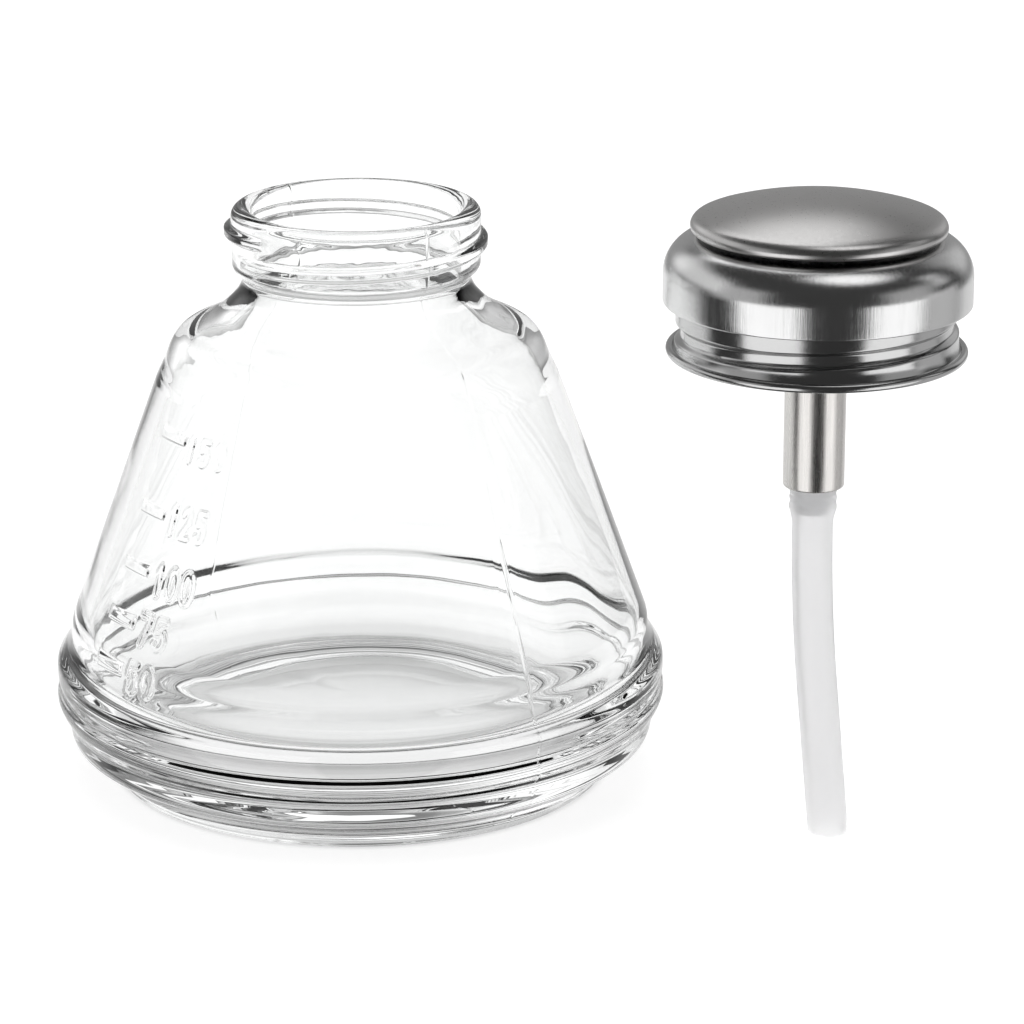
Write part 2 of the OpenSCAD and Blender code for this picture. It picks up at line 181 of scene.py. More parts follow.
def curve(points, n=6):
    """A smooth curve through the points, with n steps between each two."""
    p = np.array([points[0]] + list(points) + [points[-1]], float)
    out = []
    for i in range(1, len(p) - 2):
        for t in np.linspace(0, 1, n, endpoint=False):
            a = 2 * p[i]
            b = p[i + 1] - p[i - 1]
            c = 2 * p[i - 1] - 5 * p[i] + 4 * p[i + 1] - p[i + 2]
            d = -p[i - 1] + 3 * p[i] - 3 * p[i + 1] + p[i + 2]
            out.append(tuple(0.5 * (a + b * t + c * t * t + d * t**3)))
    out.append(tuple(p[-2]))
    return out


def line(a, b, step):
    """Points on the straight line from a towards b, about step apart, b left out."""
    n = max(1, int(round(math.dist(a, b) / step)))
    return [(a[0] + (b[0] - a[0]) * i / n, a[1] + (b[1] - a[1]) * i / n) for i in range(n)]


def smooth_bump(x):
    """1 at 0, falling smoothly to 0 at 1 and beyond."""
    x = np.clip(np.abs(x), 0, 1)
    return (1 - x * x) ** 2


def new_object(name, verts, faces, body, mat, sharp=35.0):
    """A piece with smooth faces, and sharp edges above an angle in degrees."""
    mesh = bpy.data.meshes.new(name)
    mesh.from_pydata([tuple(v) for v in verts], [], faces)
    mesh.validate()
    mesh.polygons.foreach_set("use_smooth", [True] * len(mesh.polygons))
    mesh.set_sharp_from_angle(angle=math.radians(sharp))
    obj = bpy.data.objects.new(name, mesh)
    bpy.context.scene.collection.objects.link(obj)
    mesh.materials.append(mat)
    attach(obj, body)
    return obj


def revolve(outline, angles, centre=(0.0, 0.0), shift=None, closed=False):
    """Verts, in metres, and faces of an outline turned about a vertical axis.

    shift(theta, r, z) gives the radius and the height that the outline's points move to. An
    outline that isn't closed starts and ends on the axis.
    """
    rz = np.array(outline, float)
    theta = np.asarray(angles)
    r, t = np.meshgrid(rz[:, 0], theta, indexing="ij")
    z = np.repeat(rz[:, 1][:, None], len(theta), axis=1)
    if shift is not None:
        r, z = shift(t, r, z)
    x = centre[0] + r * np.sin(t)
    y = centre[1] - r * np.cos(t)
    rows, cols = r.shape
    if closed:
        verts = np.stack([x, y, z], -1).reshape(-1, 3)
        pole_rows = []
    else:
        inner = np.stack([x, y, z], -1)[1:-1].reshape(-1, 3)
        ends = np.array([[*centre, rz[0, 1]], [*centre, rz[-1, 1]]])
        verts = np.concatenate([inner, ends])
        pole_rows = [0, rows - 3]
        rows -= 2
    faces = []
    ring = np.arange(cols)
    after = (ring + 1) % cols
    for i in range(rows if closed else rows - 1):
        a = i * cols
        b = ((i + 1) % rows) * cols
        faces += np.stack([a + ring, a + after, b + after, b + ring], -1).tolist()
    if pole_rows:
        first, last = len(verts) - 2, len(verts) - 1
        faces += np.stack([np.full(cols, first), after, ring], -1).tolist()
        a = (rows - 1) * cols
        faces += np.stack([a + ring, a + after, np.full(cols, last)], -1).tolist()
    return verts * MM, faces


# Materials: scales that noise is stretched by, even or in lines up the piece
EVEN = (1.0, 1.0, 1.0)
BRUSHED = (1.0, 1.0, 0.03)


def material(name):
    mat = bpy.data.materials.new(name)
    mat.use_nodes = True
    nodes = mat.node_tree.nodes
    return mat, nodes, mat.node_tree.links, nodes["Principled BSDF"]


def noise(nodes, links, scale, detail=3.0, stretch=EVEN, rough=0.5):
    coord = nodes.new("ShaderNodeTexCoord")
    mapping = nodes.new("ShaderNodeMapping")
    mapping.inputs["Scale"].default_value = stretch
    tex = nodes.new("ShaderNodeTexNoise")
    tex.inputs["Scale"].default_value = scale
    tex.inputs["Detail"].default_value = detail
    tex.inputs["Roughness"].default_value = rough
    links.new(coord.outputs["Object"], mapping.inputs["Vector"])
    links.new(mapping.outputs["Vector"], tex.inputs["Vector"])
    return tex.outputs["Fac"]


def ramp(nodes, links, source, low, high):
    """A noise's middle range spread from low to high."""
    node = nodes.new("ShaderNodeMapRange")
    node.inputs["From Min"].default_value = 0.3
    node.inputs["From Max"].default_value = 0.7
    node.inputs["To Min"].default_value = low
    node.inputs["To Max"].default_value = high
    links.new(source, node.inputs["Value"])
    return node.outputs["Result"]


def add_bump(nodes, links, shader, source, strength, distance):
    bump = nodes.new("ShaderNodeBump")
    bump.inputs["Strength"].default_value = strength
    bump.inputs["Distance"].default_value = distance
    links.new(source, bump.inputs["Height"])
    links.new(bump.outputs["Normal"], shader.inputs["Normal"])


def tint(nodes, links, shader, source, dark, light):
    mix = nodes.new("ShaderNodeMix")
    mix.data_type = "RGBA"
    mix.inputs["A"].default_value = (*dark, 1.0)
    mix.inputs["B"].default_value = (*light, 1.0)
    links.new(source, mix.inputs["Factor"])
    links.new(mix.outputs["Result"], shader.inputs["Base Color"])


def glass_material():
    mat, nodes, links, shader = material("clear_glass")
    shader.inputs["Transmission Weight"].default_value = 1.0
    shader.inputs["IOR"].default_value = 1.5
    shader.inputs["Roughness"].default_value = 0.0
    fine = noise(nodes, links, 420.0, 2.0)
    tint(nodes, links, shader, fine, (0.955, 0.96, 0.958), (0.985, 0.988, 0.987))
    add_bump(nodes, links, shader, noise(nodes, links, 60.0, 2.0), 0.12, 0.0004)
    return mat


def metal_material(name, colour, rough, spread=0.06, brush=EVEN, scale=700.0, bump=0.05):
    """Steel with a cloudy colour and grain, which brush draws out into fine lines."""
    mat, nodes, links, shader = material(name)
    shader.inputs["Metallic"].default_value = 1.0
    cloud = noise(nodes, links, 110.0, 4.0)
    dark = tuple(c * 0.93 for c in colour)
    tint(nodes, links, shader, cloud, dark, colour)
    grain = noise(nodes, links, scale, 5.0, brush, 0.7)
    roughness = ramp(nodes, links, grain, rough - spread, rough + spread)
    links.new(roughness, shader.inputs["Roughness"])
    add_bump(nodes, links, shader, grain, bump, 0.00004)
    return mat


def plastic_material(name, colour, rough):
    mat, nodes, links, shader = material(name)
    grain = noise(nodes, links, 900.0, 3.0)
    tint(nodes, links, shader, grain, tuple(c * 0.95 for c in colour), colour)
    links.new(ramp(nodes, links, grain, rough - 0.05, rough + 0.05), shader.inputs["Roughness"])
    add_bump(nodes, links, shader, grain, 0.08, 0.00005)
    return mat


def tube_material():
    mat, nodes, links, shader = material("tube_plastic")
    shader.inputs["Transmission Weight"].default_value = 0.8
    shader.inputs["IOR"].default_value = 1.25
    grain = noise(nodes, links, 140.0, 2.0, (1.0, 1.0, 0.3))
    tint(nodes, links, shader, grain, (0.965, 0.963, 0.967), (0.99, 0.988, 0.992))
    links.new(ramp(nodes, links, grain, 0.36, 0.42), shader.inputs["Roughness"])
    return mat


def floor_material():
    mat, nodes, links, shader = material("pale_floor")
    cloud = noise(nodes, links, 3.0, 2.0)
    tint(nodes, links, shader, cloud, (0.19, 0.19, 0.19), (0.21, 0.21, 0.21))
    shader.inputs["Roughness"].default_value = 0.9
    shader.inputs["Specular IOR Level"].default_value = 0.0
    shader.inputs["Emission Color"].default_value = (1.0, 1.0, 1.0, 1.0)
    coord = nodes.new("ShaderNodeTexCoord")
    flat = nodes.new("ShaderNodeVectorMath")
    flat.operation = "MULTIPLY"
    flat.inputs[1].default_value = (1.0, 1.0, 0.0)
    links.new(coord.outputs["Object"], flat.inputs[0])
    far = nodes.new("ShaderNodeVectorMath")
    far.operation = "LENGTH"
    links.new(flat.outputs["Vector"], far.inputs[0])
    shade = nodes.new("ShaderNodeValToRGB")
    shade.color_ramp.interpolation = "B_SPLINE"
    steps = shade.color_ramp.elements
    for i, (reach, tone) in enumerate(FLOOR_SHADE):
        spot = reach / SHADE_SPAN
        step = steps[i] if i < 2 else steps.new(spot)
        step.position = spot
        step.color = (tone, tone, tone, 1.0)
    scale = nodes.new("ShaderNodeMath")
    scale.operation = "MULTIPLY"
    scale.inputs[1].default_value = 1.0 / (SHADE_SPAN * MM)
    links.new(far.outputs["Value"], scale.inputs[0])
    links.new(scale.outputs[0], shade.inputs["Fac"])
    links.new(shade.outputs["Color"], shader.inputs["Emission Strength"])
    return mat


# Bottle


def cone_radius(z):
    slope = (CONE_FOOT[0] - CONE_TOP[0]) / (CONE_TOP[1] - CONE_FOOT[1])
    return CONE_FOOT[0] - (z - CONE_FOOT[1]) * slope


def bottle_outline():
    """The outside from the base's centre up to the lip, and the inside down to the inner floor."""
    outside = [(0.0, PUSH_UP)]
    outside += curve([
        (3.0, PUSH_UP), (FOOT_R - 9.0, PUSH_UP - 0.2), (FOOT_R - 4.5, 1.0),
        (FOOT_R - 2.8, 0.05)], 8)
    outside += line((FOOT_R - 2.3, 0.0), (FOOT_R - 0.7, 0.0), 0.4)
    outside += arc(FOOT_R - FOOT_ROUND, FOOT_ROUND, FOOT_ROUND, -90, 0, 6)
    outside += curve([
        (FOOT_R + 0.8, 1.7), (CHAMFER_R - 4.15, 2.95), (CHAMFER_R - 3.5, 3.35),
        (CHAMFER_R - 2.6, 3.8), (CHAMFER_R - 1.2, 4.5), (CHAMFER_R - 0.2, 5.3),
        (CHAMFER_R + 0.15, 6.1), (CHAMFER_R + 0.4, 7.4),
        (BEAD_R - 1.25, 8.6), (BEAD_R - 0.55, 9.6), (BEAD_R - 0.1, 10.6), (BEAD_R, 11.3),
        (BEAD_R - 0.12, 11.9), (BEAD_R - 0.48, 12.5), (BEAD_R - 0.3, 13.2), (BEAD_R - 0.14, 14.1),
        (BEAD_R - 0.14, 15.7), (BEAD_R - 0.4, 16.5), (BEAD_R - 1.0, 17.4), (BEAD_R - 1.7, 18.5),
        (BEAD_R - 2.2, 19.9), (CONE_FOOT[0] + 0.15, CONE_FOOT[1] - 0.7)], 4)
    outside += line(CONE_FOOT, CONE_TOP, 0.17)
    outside += curve([
        CONE_TOP, (27.05, 57.4), (26.35, 58.9), (25.7, 60.6), (24.9, 61.9), (23.9, 62.7),
        (22.4, 63.4), (20.9, 64.2), (19.4, 65.1), (18.2, 66.1), (17.1, 67.2), (16.25, 68.3),
        (GROOVE_R, 69.5), (GROOVE_R, 70.3), (16.05, 70.9), (16.7, 71.4), (NECK_R, 72.0)], 5)
    outside += line((NECK_R, 72.2), (NECK_R + 0.1, BOTTLE_H - 1.5), 0.16)
    outside += arc(NECK_R - 1.3, BOTTLE_H - LIP_OUT_R, LIP_OUT_R, 2, 90, 14)
    inside = arc(MOUTH_R + LIP_IN_R, BOTTLE_H - LIP_IN_R, LIP_IN_R, 90, 180, 12)
    inside += line((MOUTH_R, BOTTLE_H - 1.7), (MOUTH_R, NECK_Z), 0.5)
    inside += curve([
        (MOUTH_R, NECK_Z - 0.6), (MOUTH_R + 0.1, 68.2), (14.7, 66.9), (15.6, 65.5), (16.8, 64.25),
        (18.2, 63.2), (19.8, 62.3), (21.2, 61.55), (22.4, 60.75), (23.4, 59.7), (24.2, 58.3),
        (25.2, 56.2)], 5)
    inside += line((25.3, 56.0), (CONE_FOOT[0] - GLASS_T - 0.1, CONE_FOOT[1]), 0.8)
    inside += curve([(CONE_FOOT[0] - GLASS_T, 21.2), (38.0, 19.6), (38.45, 18.1), (38.85, 16.9)], 5)
    side = BOWL_R - FLAT_R
    depth = BOWL_TOP - FLOOR_Z
    for t in np.radians(np.arange(86.0, 0.0, -2.0)):
        inside.append((FLAT_R + side * math.sin(t), BOWL_TOP - depth * math.cos(t)))
    inside += line((FLAT_R, FLOOR_Z), (0.8, FLOOR_Z), 1.3) + [(0.0, FLOOR_Z)]
    return outside, inside


def stroke_distance(u, v, points):
    """Distance from (u, v) to a line of points."""
    best = np.full(u.shape, 1e9)
    for (ax, ay), (bx, by) in zip(points[:-1], points[1:]):
        dx, dy = bx - ax, by - ay
        t = np.clip(((u - ax) * dx + (v - ay) * dy) / (dx * dx + dy * dy), 0, 1)
        best = np.minimum(best, np.hypot(u - ax - t * dx, v - ay - t * dy))
    return best


def digit_strokes(ch):
    """A plain numeral in a box from -1 to 1 across and up."""
    def bow(cx, cy, rx, ry, start, end, n=14):
        angles = [math.radians(a) for a in np.linspace(start, end, n)]
        return [(cx + rx * math.cos(a), cy + ry * math.sin(a)) for a in angles]

    if ch == "0":
        return [bow(0, 0, 0.95, 1.0, 0, 360, 28)]
    if ch == "1":
        return [[(-0.45, 0.6), (0.1, 1.0), (0.1, -1.0)]]
    if ch == "2":
        return [bow(0, 0.42, 0.85, 0.58, 165, -25) + [(-0.85, -1.0), (0.9, -1.0)]]
    if ch == "5":
        return [[(0.8, 1.0), (-0.6, 1.0), (-0.75, 0.15)]
                + bow(-0.05, -0.36, 0.92, 0.64, 130, -150)]
    return [[(-0.85, 1.0), (0.85, 1.0), (-0.2, -1.0)]]


def raised_marks(theta, r, z):
    """Height of the ticks and numerals above the glass."""
    height = np.zeros(r.shape)
    on_cone = (z > CONE_FOOT[1] - 3.2) & (z < CONE_TOP[1] + 0.5)
    slant = 1.0 / math.cos(math.atan2(CONE_FOOT[0] - CONE_TOP[0], CONE_TOP[1] - CONE_FOOT[1]))

    def raise_by(distance, amount, blur):
        edge = np.clip((blur - distance) / (2 * blur) + 0.5, 0, 1)
        return amount * edge * edge * (3 - 2 * edge)

    for text, (mark_z, above, right) in MARKS.items():
        v = (z - mark_z) * slant
        radius = cone_radius(mark_z)
        u = (theta - TICK_SIDE) * radius
        box = np.maximum(np.abs(u) - TICK_LEN / 2, np.abs(v) - TICK_W / 2)
        height = np.maximum(height, np.where(on_cone, raise_by(box, TICK_H, TICK_EDGE), 0))
        three = len(text) == 3
        tall = DIGIT_H / 2 * (TOP_TALL if mark_z > TOP_MARK_Z else 1.0)
        wide = DIGIT_W / 2 * (THREE_WIDE if three else 1.0)
        step = DIGIT_STEP * (THREE_STEP if three else 1.0)
        for i, ch in enumerate(text):
            u = (theta - DIGIT_SIDE) * radius - right - i * step
            w = v - above
            near = on_cone & (np.abs(u) < wide + 1) & (np.abs(w) < tall + 1)
            if not near.any():
                continue
            for stroke in digit_strokes(ch):
                path = [(px * (wide - STROKE), py * (tall - STROKE)) for px, py in stroke]
                d = stroke_distance(u[near], w[near], path) - STROKE
                height[near] = np.maximum(height[near], raise_by(d, DIGIT_RISE, DIGIT_EDGE))
    return height


def thread_height(theta, z, start, z_start, pitch, turns, width, height, fade=0.6):
    """Height of a right-handed ridge that winds up from z_start."""
    total = turns * 2 * math.pi
    out = np.zeros(z.shape)
    for k in range(int(math.ceil(turns)) + 1):
        along = (theta - start) % (2 * math.pi) + 2 * math.pi * k
        centre = z_start + pitch * along / (2 * math.pi)
        grow = np.clip(np.minimum(along / fade, (total - along) / fade), 0, 1)
        grow = grow * grow * (3 - 2 * grow)
        across = np.abs(z - centre) / (width / 2)
        rise = np.clip((1.0 - across) / RIDGE_FLANK, 0, 1)
        out = np.maximum(out, height * grow * rise * rise * (3 - 2 * rise))
    return out


def waves(theta, z, size, seed, around=(1, 6), up=(0.02, 0.1), count=9):
    """Slow waves, as on moulded glass."""
    rng = np.random.default_rng(seed)
    total = np.zeros(theta.shape)
    for _ in range(count):
        k = rng.integers(around[0], around[1] + 1)
        m = rng.uniform(*up) * rng.choice([-1, 1])
        total += rng.uniform(0.4, 1.0) * np.sin(k * theta + m * z + rng.uniform(0, 6.3))
    return total * size / math.sqrt(count)


def inner_ripples(theta, z):
    """Faint chill lines that wander round the inside, just above the floor."""
    dip = 1.2 * smooth_bump((theta + 2.35) / 0.9)
    wander = waves(theta, z, 0.35, 21, (1, 8), (0.0, 0.02)) - dip
    total = np.zeros(z.shape)
    for line_z, wide, tall in CHILL_LINES:
        centre = line_z + wander * min(1.0, (line_z - 7.6) / 4)
        total = np.maximum(total, tall * np.exp(-((z - centre) / wide) ** 2))
    return CHILL_H * total


def bottle_angles():
    """Directions round the bottle, close together at the marks and the seams."""
    coarse = np.radians(np.arange(-180.0, 180.0, 1.5))
    marks = np.radians(np.arange(-62.5, -33.5, 0.25))
    close = np.radians(np.arange(-1.2, 1.21, 0.2))
    seams = np.concatenate([side + close for side in SEAM_SIDES])
    kept = [a for a in coarse if not (marks[0] - 0.01 < a < marks[-1] + 0.01)
            and all(abs(a - side) > math.radians(1.9) for side in SEAM_SIDES)]
    return np.sort(np.concatenate([kept, marks, seams]))


def make_bottle(mat):
    outside, inside = bottle_outline()
    n_out = len(outside)

    def shift(theta, r, z):
        row = np.arange(r.shape[0])[:, None] * np.ones(r.shape)
        outer = row < n_out
        # Outside: marks, seams and thread, which fade out at the foot
        seam = smooth_bump((theta - SEAM_SIDE) * r / SEAM_W)
        seam += smooth_bump((theta - SEAM_SIDE + math.pi) * r / SEAM_W)
        add = raised_marks(theta, r, z) + SEAM_H * seam
        add += thread_height(theta, z, THREAD_START, THREAD_Z, PITCH_MM, THREAD_TURNS, THREAD_W,
                             THREAD_H)
        standing = np.clip(z / 3.0, 0, 1)
        add = np.where(outer, add * standing, 0.0)
        # Waves on the body, inside strongest on the right
        body = np.clip((z - 14) / 6, 0, 1) * np.clip((68 - z) / 5, 0, 1)
        rough_side = 0.1 + 1.3 * smooth_bump((theta - math.radians(66)) / 1.0)
        slow = waves(theta, z, 0.3, 5, (1, 5), (0.01, 0.06))
        slow += waves(theta, z, 0.09, 11, (6, 16), (0.01, 0.12))
        slow *= rough_side
        add += np.where(outer, waves(theta, z, 0.03, 3), slow) * body
        # Chill lines, which move a steep wall inwards and a flat floor up
        ripple = np.where(outer | (z > 24), 0.0, inner_ripples(theta, z))
        steep = np.clip((z - FLOOR_Z) / 6, 0, 1)
        add -= ripple * steep
        # Slow unevenness of the inner floor, none at its centre
        x, y = r * np.sin(theta), r * np.cos(theta)
        pool = np.sin(0.11 * x + 0.05 * y + 1.0) + np.sin(0.06 * x - 0.13 * y)
        pool += 0.6 * np.sin(0.2 * x + 0.17 * y + 2.0)
        pool -= math.sin(1.0) + 0.6 * math.sin(2.0)
        low = np.clip((11.5 - z) / 2.5, 0, 1)
        lift = np.where(outer, 0.0, 0.06 * pool * low)
        lift += ripple * (1 - steep) * np.clip((r - 2) / 4, 0, 1)
        rough_neck = np.clip((z - 70.5) / 1.5, 0, 1)
        add += rough_neck * waves(theta, z, 0.005, 8, (8, 50), (0.4, 5.0), 16)
        return r + np.where(r > 1, add, 0), z + lift

    verts, faces = revolve(outside + inside, bottle_angles(), shift=shift)
    obj = new_object("glass_bottle", verts, faces, "bottle", mat, 60.0)
    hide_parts("bottle")


# Pump


def pump_piece(name, outline, body, mat, node, shift=None, closed=True, n=256,
               sharp=35.0):
    """A turned piece of the pump, which replaces a node."""
    angles = np.linspace(-math.pi, math.pi, n, endpoint=False)
    verts, faces = revolve(outline, angles, (PUMP_X, PUMP_Y), shift, closed)
    obj = new_object(name, verts, faces, body, mat, sharp)
    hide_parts(node)


def make_disc(mat):
    foot = DISC_Z - 0.4
    inside = [(0.0, foot + 3.8), (DISC_R - 2.6, foot + 1.9), (DISC_R - 1.1, foot + 1.2),
              (DISC_R - 1.1, foot + 0.2)]
    edge = [(-1.1, 0.15), (-0.95, 0.02), (-0.75, 0.0), (-0.42, 0.08), (-0.12, 0.34), (0.0, 0.75),
            (-0.06, 1.15), (-0.32, 1.62), (-0.8, 2.0), (-1.5, 2.3)]
    outline = inside + curve([(DISC_R + x, foot + z) for x, z in edge], 6)
    last = DISC_R - 1.5
    top = foot + DISC_H
    outline += [(r, top - DISC_CROWN * (r / last) ** 2) for r in np.linspace(last - 0.4, 0.4, 36)]
    outline += [(0.0, top)]
    pump_piece("domed_disc", outline, "head", mat, "press_disc", closed=False,
               sharp=50.0)


def make_cover(mat):
    t = COVER_SHEET
    r = COVER_CORNER
    hem = COVER_TOP - COVER_H
    outline = [(COVER_HOLE_R, COVER_TOP - t), (COVER_HOLE_R, COVER_TOP)]
    outline += line((3.4, COVER_TOP), (COVER_R - r, COVER_TOP), 2.0)
    outline += arc(COVER_R - r, COVER_TOP - r, r, 90, 0, 30)
    outline += line((COVER_R, COVER_TOP - r - 0.5), (COVER_R, hem + 0.15), 1.0)
    outline += arc(COVER_R - t / 2, hem + t / 2, t / 2, 0, -180, 8)
    outline += line((COVER_R - t, hem + 0.5), (COVER_R - t, COVER_TOP - r), 1.5)
    outline += arc(COVER_R - r, COVER_TOP - r, r - t, 0, 90, 12)
    pump_piece("rounded_cover", outline, "head", mat, "cover")


def make_collar(mat):
    t = COLLAR_SHEET
    corner = COLLAR_CORNER
    r = COLLAR_R
    z = COLLAR_Z
    start, turns, width, depth, fade = math.radians(-235), 1.36, 2.6, 0.72, 0.7

    def shift(theta, radius, height):
        """The rolled thread, in the wall alone."""
        groove = thread_height(theta, height, start, z + 1.7, PITCH_MM, turns, width, depth, fade)
        wall = np.clip((radius - r + 1.0) / 0.3, 0, 1) * np.clip((height - z - 1.3) / 0.6, 0, 1)
        wall *= np.clip((r + 0.6 - radius) / 0.3, 0, 1)
        return radius - groove * wall, height

    outline = [(COLLAR_HOLE_R, COLLAR_TOP - t), (COLLAR_HOLE_R, COLLAR_TOP)]
    outline += line((4.5, COLLAR_TOP), (r - corner, COLLAR_TOP), 2.0)
    outline += arc(r - corner, COLLAR_TOP - corner, corner, 90, 0, 10)
    outline += line((r, COLLAR_TOP - corner - 0.1), (r, z + 2.7), 0.14)
    outline += curve([(r, z + 2.6), (r + 0.02, z + 2.2), (r + 0.08, z + 1.8), (r + 0.18, z + 1.4),
                      (r + 0.28, z + 1.12), (r + 0.38, z + 1.06)], 4)
    outline += arc(r + 0.67, z + 0.62, 0.58, 122, -90, 18)
    outline += curve([(r + 0.5, z + 0.08), (r + 0.3, z + 0.3), (r + 0.05, z + 0.8),
                      (r - 0.15, z + 1.25), (r - 0.33, z + 1.7), (r - 0.39, z + 2.2)], 4)
    outline += line((r - t, z + 2.5), (r - t, COLLAR_TOP - corner), 0.14)
    outline += arc(r - corner, COLLAR_TOP - corner, corner - t, 0, 90, 8)
    pump_piece("rolled_collar", outline, "pump", mat, "screw_collar", shift)


def make_barrel(mat):
    bore = BARREL_BORE_R
    top = BARREL_TOP
    outline = [(bore, top + FLANGE_T), (FLANGE_R, top + FLANGE_T), (FLANGE_R, top), (BARREL_R, top)]
    outline += line((BARREL_R, top - 0.4), (BARREL_R, BARREL_Z + 0.4), 2.0)
    outline += arc(BARREL_R - 0.35, BARREL_Z + 0.35, 0.35, 0, -90, 5)
    outline += [(bore, BARREL_Z)]
    pump_piece("barrel_tube", outline, "pump", mat, "barrel", n=128)


def make_tube(mat):
    """The dip tube: ridges over the barb, a bend, a leaning straight, and an end on the floor."""
    barb_z = 45.2
    bend_top = 43.7
    lean = 3.0
    bend = 22.0
    slope = lean / (bend_top - bend / 2)
    outer, inner = 2.7, 1.95
    sleeve, barb = 3.15, 2.41
    n = 64
    theta = np.linspace(0, 2 * math.pi, n, endpoint=False)
    outside = curve([(sleeve - 0.05, BARREL_Z - 0.02), (sleeve, 48.3), (sleeve - 0.13, 47.75),
                     (sleeve, 47.2), (sleeve - 0.13, 46.65), (sleeve + 0.02, 46.1)], 4)
    outside += curve([(sleeve - 0.02, barb_z + 0.5), (sleeve - 0.2, barb_z - 0.1),
                      (outer + 0.08, barb_z - 0.9), (outer, bend_top)], 4)
    inside = [(barb, BARREL_Z - 0.02), (barb, barb_z + 0.85), (2.15, barb_z - 0.1),
              (inner, barb_z - 0.6), (inner, bend_top)]

    def sweep(points):
        rows = []
        for r, z in points:
            rows.append(np.stack([r * np.sin(theta), -r * np.cos(theta), np.full(n, z)], -1))
        r = points[-1][0]
        for down in np.linspace(0, bend_top, 44)[1:]:
            across = slope * (down**2 / (2 * bend) if down < bend else down - bend / 2)
            tilt = math.atan(slope * min(down / bend, 1.0))
            side = r * np.sin(theta)
            height = np.maximum(bend_top - down + side * math.sin(tilt), 0.0)
            rows.append(np.stack([across + side * math.cos(tilt), -r * np.cos(theta), height], -1))
        rows[-1][:, 2] = 0.0
        return rows

    rows = sweep(outside) + sweep(inside)[::-1]
    verts = np.concatenate(rows) + np.array([PUMP_X, PUMP_Y, 0.0])
    ring = np.arange(n)
    after = (ring + 1) % n
    faces = []
    for i in range(len(rows)):
        a, b = i * n, ((i + 1) % len(rows)) * n
        faces += np.stack([a + ring, b + ring, b + after, a + after], -1).tolist()
    obj = new_object("milky_tube", verts * MM, faces, "pump", mat, 40.0)
    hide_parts("dip_tube")


def make_spring(mat):
    """The return spring: a coil of round wire, as long as the packed spring."""
    low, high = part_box("return_spring")
    wire, turns, per_turn, m = 0.42, 8, 40, 12
    steps = turns * per_turn
    radius = (high[0] - low[0]) / 2 / MM - wire
    foot, top = low[2] / MM + wire, high[2] / MM - wire
    across = np.linspace(0, 2 * math.pi, m, endpoint=False)
    verts = []
    for i in range(steps + 1):
        turn = 2 * math.pi * i / per_turn
        ring = radius + wire * np.cos(across)
        height = foot + (top - foot) * i / steps + wire * np.sin(across)
        east, north = ring * math.cos(turn), ring * math.sin(turn)
        verts += list(zip(PUMP_X + east, PUMP_Y + north, height))
    faces = []
    for i in range(steps):
        for j in range(m):
            a, b = i * m + j, i * m + (j + 1) % m
            faces.append((a, b, b + m, a + m))
    faces += [tuple(range(m))[::-1], tuple(range(steps * m, steps * m + m))]
    verts = np.array(verts) * MM
    obj = new_object("coil_spring", verts, faces, "pump", mat, 40.0)
    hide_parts("return_spring")
    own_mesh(obj)


# Stage


def make_floor():
    """A pale floor, shaded where the bottle's foot rests.

    Reflections look past it, to the soft boxes and dark cards of the studio.
    """
    size = 6.0
    mesh = bpy.data.meshes.new("floor")
    corners = [(-size, -size, 0), (size, -size, 0), (size, size, 0), (-size, size, 0)]
    mesh.from_pydata(corners, [], [(0, 1, 2, 3)])
    obj = bpy.data.objects.new("floor", mesh)
    bpy.context.scene.collection.objects.link(obj)
    mesh.materials.append(floor_material())
    obj.visible_glossy = False


def area_light(name, place, target, size, power):
    light = bpy.data.lights.new(name, "AREA")
    light.shape = "RECTANGLE"
    light.size, light.size_y = size
    light.energy = power
    obj = bpy.data.objects.new(name, light)
    bpy.context.scene.collection.objects.link(obj)
    obj.location = place
    obj.rotation_euler = (Vector(target) - Vector(place)).to_track_quat("-Z", "Y").to_euler()
    obj.visible_glossy = False
    obj.visible_transmission = False


# What reflections see of the studio: side from and to, height from and to, soft edge, all in
# degrees, and brightness. Side 0 is towards the front, and grows to the right.
PANELS = [
    ("front_left_box", -66, -16, -60, -3, 6, 1.35),
    ("front_right_box", 35, 80, -60, -3, 6, 1.35),
    ("front_left_glow", -88, -44, -4, 32, 14, 0.45),
    ("front_right_glow", 48, 90, -4, 28, 14, 0.4),
    ("left_table", -125, -100, -50, 2, 8, 0.5),
    ("right_table", 84, 118, -50, 2, 8, 0.55),
    ("far_left_table", 182, 236, -60, -9, 8, 0.7),
    ("far_right_table", 120, 178, -60, -9, 8, 0.5),
    ("left_wall", -150, -84, 6, 38, 14, 0.7),
    ("right_strip", 96, 110, 12, 40, 5, 0.6),
    ("back_right", 128, 158, 4, 40, 12, 0.3),
    ("back_low", 130, 230, -40, 25, 14, 0.28),
    ("back_high_box", 164, 212, 36, 72, 9, 1.3),
]
STUDIO_GREY = 0.05

# The round box overhead, seen both ways: direction, half-width and soft edge in degrees, brightness
TOP_BOX = (0.24, -0.07, 0.97, 17.0, 7.0, 1.3)

# What light that comes through the glass and the tube sees: the same kinds of numbers
THROUGH = [
    ("left_wall", -160, -25, 0, 90, 24, 0.8),
    ("back_wall", 150, 215, 6, 60, 16, 0.45),
    ("right_strip", 70, 92, -10, 70, 10, 0.7),
    ("front_high", -25, 70, 30, 90, 24, 0.35),
]
THROUGH_GREY = 0.19


